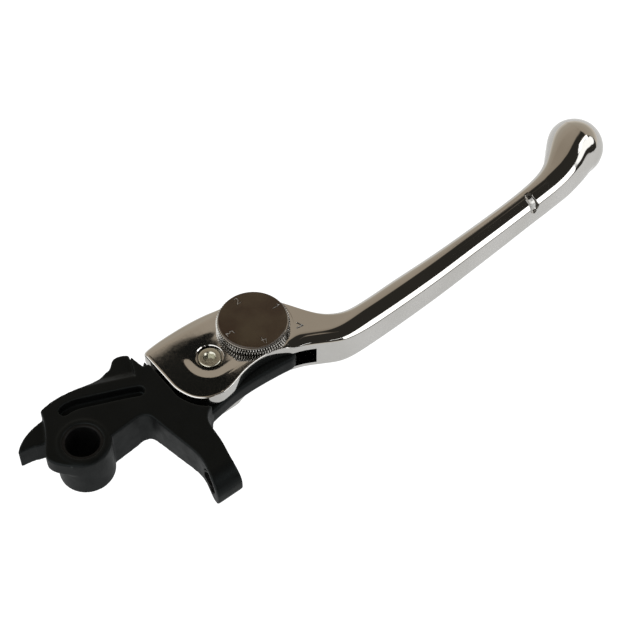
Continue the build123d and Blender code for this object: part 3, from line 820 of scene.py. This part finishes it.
# strokes of the digits, upright and two units tall
DIGITS = {
    1: [[(-0.35, 0.6), (0.15, 1.0), (0.15, -1.0)]],
    2: [[(-0.5, 0.8), (0.4, 0.8), (0.4, 0.1), (-0.5, -0.9), (0.6, -0.9)]],
    3: [[(-0.5, 0.9), (0.5, 0.9), (-0.1, 0.1), (0.5, -0.3), (0.2, -0.9), (-0.5, -0.9)]],
    4: [[(-0.2, 1.0), (-0.6, -0.2), (0.6, -0.2)], [(0.25, 0.5), (0.25, -1.0)]],
}
DIGIT_RING_R = 8.3
DIGIT_SIZE = 1.2
DIGIT_FLOOR_Z = 9.99
# each digit is cut into the cap, with a bright line on its floor
digit_fills = []
for value, angle in ((1, -3.0), (2, 87.0), (3, 179.0), (4, 256.0)):
    turn = math.radians(angle - 90)
    base = polar(KNOB, DIGIT_RING_R, angle)
    for stroke in DIGITS[value]:
        line = []
        for x, y in stroke:
            line.append((base[0] + DIGIT_SIZE * (x * math.cos(turn) - y * math.sin(turn)),
                         base[1] + DIGIT_SIZE * (x * math.sin(turn) + y * math.cos(turn)), CAP_TOP))
        cut(cap, capsule(line, 0.26, 12))
        fill = capsule([(x, y, DIGIT_FLOOR_Z) for x, y, z in line], 0.13, 12)
        fill.name = "cap_digit_%d_%d" % (value, len(digit_fills))
        digit_fills.append(fill)
shade(cap, 35)
dress(cap, brown)
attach(cap, "adjuster")
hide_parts("knob_cap")
for fill in digit_fills:
    dress(fill, steel)
    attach(fill, "adjuster")

# ==== hinge screw =====================================================================
HEAD_R = 3.5
screw_profile = [(0, -8.0), (1.7, -8.0), (2.0, -7.7), (2.0, HEAD_SEAT_Z)]
screw_profile += [(HEAD_R, HEAD_SEAT_Z), (HEAD_R, 5.75)]
screw_profile += shoulder(HEAD_R, 5.75, 0.5, 0.2, 6)
screw_profile += [(0, 6.25)]
screw = lathe("hinge_screw_body", HINGE, screw_profile, 96)
# key socket with a small chamfer
cut(screw, prism(hexagon(HINGE, 3.0, 12.0), 4.7, 8))
cut(screw, lathe("cut", HINGE, [(0, 5.75), (1.45, 5.75), (1.95, 6.3), (1.95, 8), (0, 8)], 64))
shade(screw, 35)
dress(screw, zinc)
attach(screw, "blade")
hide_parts("hinge_screw")

# ==== remaining CAD nodes keep their shape and get a material ========================
for node, mat in (
    ("pivot_bush", dark_steel),
    ("pushrod_bush", dark_steel),
    ("hinge_bush", bronze),
    ("hinge_shims", steel),
    ("cam_wear_pad", steel),
    ("pad_pins", steel),
    ("return_spring", spring_steel),
    ("hinge_nut", zinc),
    ("shaft_bush_upper", bronze),
    ("shaft_bush_lower", bronze),
    ("knob_seal", rubber),
    ("detent_spring", spring_steel),
    ("adjuster_shaft", steel),
    ("knob_screw", zinc),
    ("span_cam", steel),
    ("cam_pin", steel),
    ("shaft_washer", steel),
    ("shaft_clip", spring_steel),
    ("detent_ball", steel),
):
    dress_node(node, mat)

# ==== stage: floor, lights, camera ===================================================
FLOOR_Z = -9.55 * MM


def plane(name, centre, normal, width, height, mat):
    """Flat card facing along normal, stage only."""
    quat = Vector(normal).to_track_quat("Z", "Y")
    w, h = width / 2, height / 2
    mesh = bpy.data.meshes.new(name)
    mesh.from_pydata([(-w, -h, 0), (w, -h, 0), (w, h, 0), (-w, h, 0)], [], [(0, 1, 2, 3)])
    obj = bpy.data.objects.new(name, mesh)
    obj.matrix_world = Matrix.Translation(centre) @ quat.to_matrix().to_4x4()
    bpy.context.scene.collection.objects.link(obj)
    obj.data.materials.append(mat)
    return obj


def floor_material():
    """White paper: clean white to the camera, a little duller as a reflection."""
    mat, tree, shader = node_material("studio_floor")
    tone = remap(tree, noise(tree, 3.0, 2.0), 0.0, 1.0)
    paint(tree, shader, tone, (0.30, 0.30, 0.30), (0.31, 0.31, 0.31))
    shader.inputs["Roughness"].default_value = 1.0
    shader.inputs["Specular IOR Level"].default_value = 0.0
    glow = tree.nodes.new("ShaderNodeEmission")
    glow.inputs["Color"].default_value = (0.97, 0.98, 0.98, 1)
    glow.inputs["Strength"].default_value = 0.62
    paper = tree.nodes.new("ShaderNodeAddShader")
    white = tree.nodes.new("ShaderNodeEmission")
    white.inputs["Strength"].default_value = 1.15
    seen = tree.nodes.new("ShaderNodeLightPath")
    pick = tree.nodes.new("ShaderNodeMixShader")
    tree.links.new(shader.outputs[0], paper.inputs[0])
    tree.links.new(glow.outputs[0], paper.inputs[1])
    tree.links.new(seen.outputs["Is Camera Ray"], pick.inputs[0])
    tree.links.new(paper.outputs[0], pick.inputs[1])
    tree.links.new(white.outputs[0], pick.inputs[2])
    tree.links.new(pick.outputs[0], tree.nodes["Material Output"].inputs[0])
    return mat


def flag_material():
    """Dull black for the card and for the shadow in the bore."""
    mat, tree, shader = node_material("black_flag")
    tone = remap(tree, noise(tree, 12.0, 2.0), 0.0, 1.0)
    paint(tree, shader, tone, (0.010, 0.010, 0.009), (0.02, 0.02, 0.018))
    shader.inputs["Roughness"].default_value = 1.0
    shader.inputs["Specular IOR Level"].default_value = 0.0
    return mat


def heading(azimuth, elevation):
    """Direction at an azimuth and elevation in degrees."""
    a, e = math.radians(azimuth), math.radians(elevation)
    return Vector((math.cos(a) * math.cos(e), math.sin(a) * math.cos(e), math.sin(e)))


plane("floor", (0.1, 0.0, FLOOR_Z), (0, 0, 1), 6.0, 6.0, floor_material())
# the paper at the foot of the pivot bore lies in shadow
disc = [(x, y, FLOOR_Z / MM + 0.02) for x, y in circle(0.4, 0.5, 7.0)]
shade_disc = new_object("bore_shadow", disc, [list(range(len(disc)))])
dress(shade_disc, flag_material())


SOFTBOX_POWER = 7.3       # watts per square metre, the same for all of them


def softbox(name, centre, away, width, height):
    """Rectangular light unseen by the camera; it shines opposite to away."""
    light = bpy.data.lights.new(name, "AREA")
    light.shape = "RECTANGLE"
    light.size = width
    light.size_y = height
    light.energy = SOFTBOX_POWER * width * height
    light.color = (1.0, 0.99, 0.975)
    obj = bpy.data.objects.new(name, light)
    obj.matrix_world = Matrix.Translation(centre) @ Vector(away).to_track_quat("Z", "Y").to_matrix().to_4x4()
    obj.visible_camera = False
    bpy.context.scene.collection.objects.link(obj)


softbox("softbox_front", (0.209, -0.178, 0.114), (0, -1, 0), 0.218, 0.125)
softbox("softbox_left", (0.06, -0.178, 0.155), (0, -1, 0), 0.08, 0.043)
softbox("softbox_ball", (0.2535, -0.0405, 0.09), (0, 0, 1), 0.023, 0.029)

# small dark card high behind the ears: their flat top mirrors it as the dark shape outlined here
CARD_H = 150.0
EYE = Vector((-105.8, -235.1, 399.3))     # where the camera stands, mm
shape = curve_through([(24.0, 14.5), (31.0, 12.4), (38.0, 11.0), (44.0, 9.9), (46.8, 9.3), (49.0, 7.6),
                       (50.0, 5.0), (50.4, 1.0), (49.6, -2.2)], 4)
shape += curve_through([(47.6, -4.2), (47.4, -5.6), (49.8, -7.0), (53.0, -7.3), (57.0, -8.4)], 4)
shape += [(57, -17), (24, -17)]
card_points = []
for x, y in shape:
    p = Vector((x, y, TOP))
    view = (EYE - p).normalized()
    ray = Vector((-view.x, -view.y, view.z))
    hit = p + ray * ((CARD_H - TOP) / ray.z)
    card_points.append((hit.x, hit.y, CARD_H))
card = new_object("card", card_points, [list(range(len(card_points)))])
dress(card, flag_material())
card.visible_camera = False
card.visible_shadow = False
card.visible_diffuse = False

# room: pale at the horizon and dull brown overhead, with three dark areas and two bright windows
world = bpy.data.worlds.new("room")
bpy.context.scene.world = world
world.use_nodes = True
wt = world.node_tree
wt.nodes.clear()
coord = wt.nodes.new("ShaderNodeTexCoord")
split = wt.nodes.new("ShaderNodeSeparateXYZ")
wt.links.new(coord.outputs["Generated"], split.inputs[0])
ramp = wt.nodes.new("ShaderNodeValToRGB")
ramp.color_ramp.interpolation = "EASE"
stops = [
    (0.0, (0.95, 0.92, 0.87)),
    (0.10, (0.78, 0.72, 0.63)),
    (0.35, (0.54, 0.485, 0.40)),
    (0.72, (0.495, 0.425, 0.34)),
    (1.0, (0.40, 0.335, 0.26)),
]
ramp.color_ramp.elements[0].position = stops[0][0]
ramp.color_ramp.elements[0].color = (*stops[0][1], 1)
ramp.color_ramp.elements[1].position = stops[-1][0]
ramp.color_ramp.elements[1].color = (*stops[-1][1], 1)
for pos, col in stops[1:-1]:
    e = ramp.color_ramp.elements.new(pos)
    e.color = (*col, 1)
wt.links.new(split.outputs["Z"], ramp.inputs[0])


def cone_mask(direction, radius, soft):
    """1 within a cone round a direction, 0 outside, with a soft rim (degrees)."""
    toward = wt.nodes.new("ShaderNodeVectorMath")
    toward.operation = "DOT_PRODUCT"
    toward.inputs[1].default_value = direction
    wt.links.new(coord.outputs["Generated"], toward.inputs[0])
    rim = wt.nodes.new("ShaderNodeMapRange")
    rim.interpolation_type = "SMOOTHSTEP"
    rim.inputs["From Min"].default_value = math.cos(math.radians(radius + soft))
    rim.inputs["From Max"].default_value = math.cos(math.radians(radius - soft))
    wt.links.new(toward.outputs["Value"], rim.inputs["Value"])
    return rim.outputs["Result"]


def either(a, b):
    """The larger of two masks."""
    node = wt.nodes.new("ShaderNodeMath")
    node.operation = "MAXIMUM"
    wt.links.new(a, node.inputs[0])
    wt.links.new(b, node.inputs[1])
    return node.outputs[0]


shadow = either(cone_mask(heading(-60.0, 30.0), 36.5, 2.0), cone_mask(heading(-104.0, 50.0), 27.0, 2.0))
shadow = either(shadow, cone_mask(heading(-18.0, 69.0), 17.0, 3.0))
dark = wt.nodes.new("ShaderNodeMix")
dark.data_type = "RGBA"
dark.inputs[7].default_value = (0.035, 0.032, 0.027, 1)
wt.links.new(shadow, dark.inputs[0])
wt.links.new(ramp.outputs[0], dark.inputs[6])
window = wt.nodes.new("ShaderNodeMix")
window.data_type = "RGBA"
window.inputs[7].default_value = (1.75, 1.75, 1.72, 1)
lit = either(cone_mask(heading(-172.0, 20.0), 44.0, 6.0), cone_mask(heading(-35.0, 31.0), 13.0, 1.5))
wt.links.new(lit, window.inputs[0])
wt.links.new(dark.outputs[2], window.inputs[6])
room = wt.nodes.new("ShaderNodeBackground")
wt.links.new(window.outputs[2], room.inputs["Color"])
white = wt.nodes.new("ShaderNodeBackground")
white.inputs["Color"].default_value = (1.0, 1.0, 1.0, 1)
path = wt.nodes.new("ShaderNodeLightPath")
both = wt.nodes.new("ShaderNodeMixShader")
out = wt.nodes.new("ShaderNodeOutputWorld")
wt.links.new(path.outputs["Is Camera Ray"], both.inputs[0])
wt.links.new(room.outputs[0], both.inputs[1])
wt.links.new(white.outputs[0], both.inputs[2])
wt.links.new(both.outputs[0], out.inputs[0])

bpy.context.scene.view_settings.view_transform = "Standard"

# camera: 500 mm from a point just behind the neck of the blade, 53 degrees up
AZ, EL = math.radians(-38.6), math.radians(53.0)
back = Vector((math.sin(AZ) * math.cos(EL), -math.cos(AZ) * math.cos(EL), math.sin(EL)))
right = Vector((math.cos(AZ), math.sin(AZ), 0.0))
up = back.cross(right)
target = Vector((0.08194, 0.0001, 0.0))
CAMERA_DISTANCE = 0.5
FOCAL, FRAME = 1650.0, 620.0      # focal length and frame width, in pixels of the frame
cam = bpy.data.cameras.new("camera")
cam.sensor_width = 36.0
cam.lens = cam.sensor_width * FOCAL / FRAME
cam.clip_start = 0.01
cam_obj = bpy.data.objects.new("camera", cam)
rot = Matrix((right, up, back)).transposed().to_4x4()
cam_obj.matrix_world = Matrix.Translation(target + back * CAMERA_DISTANCE) @ rot
bpy.context.scene.collection.objects.link(cam_obj)
bpy.context.scene.camera = cam_obj
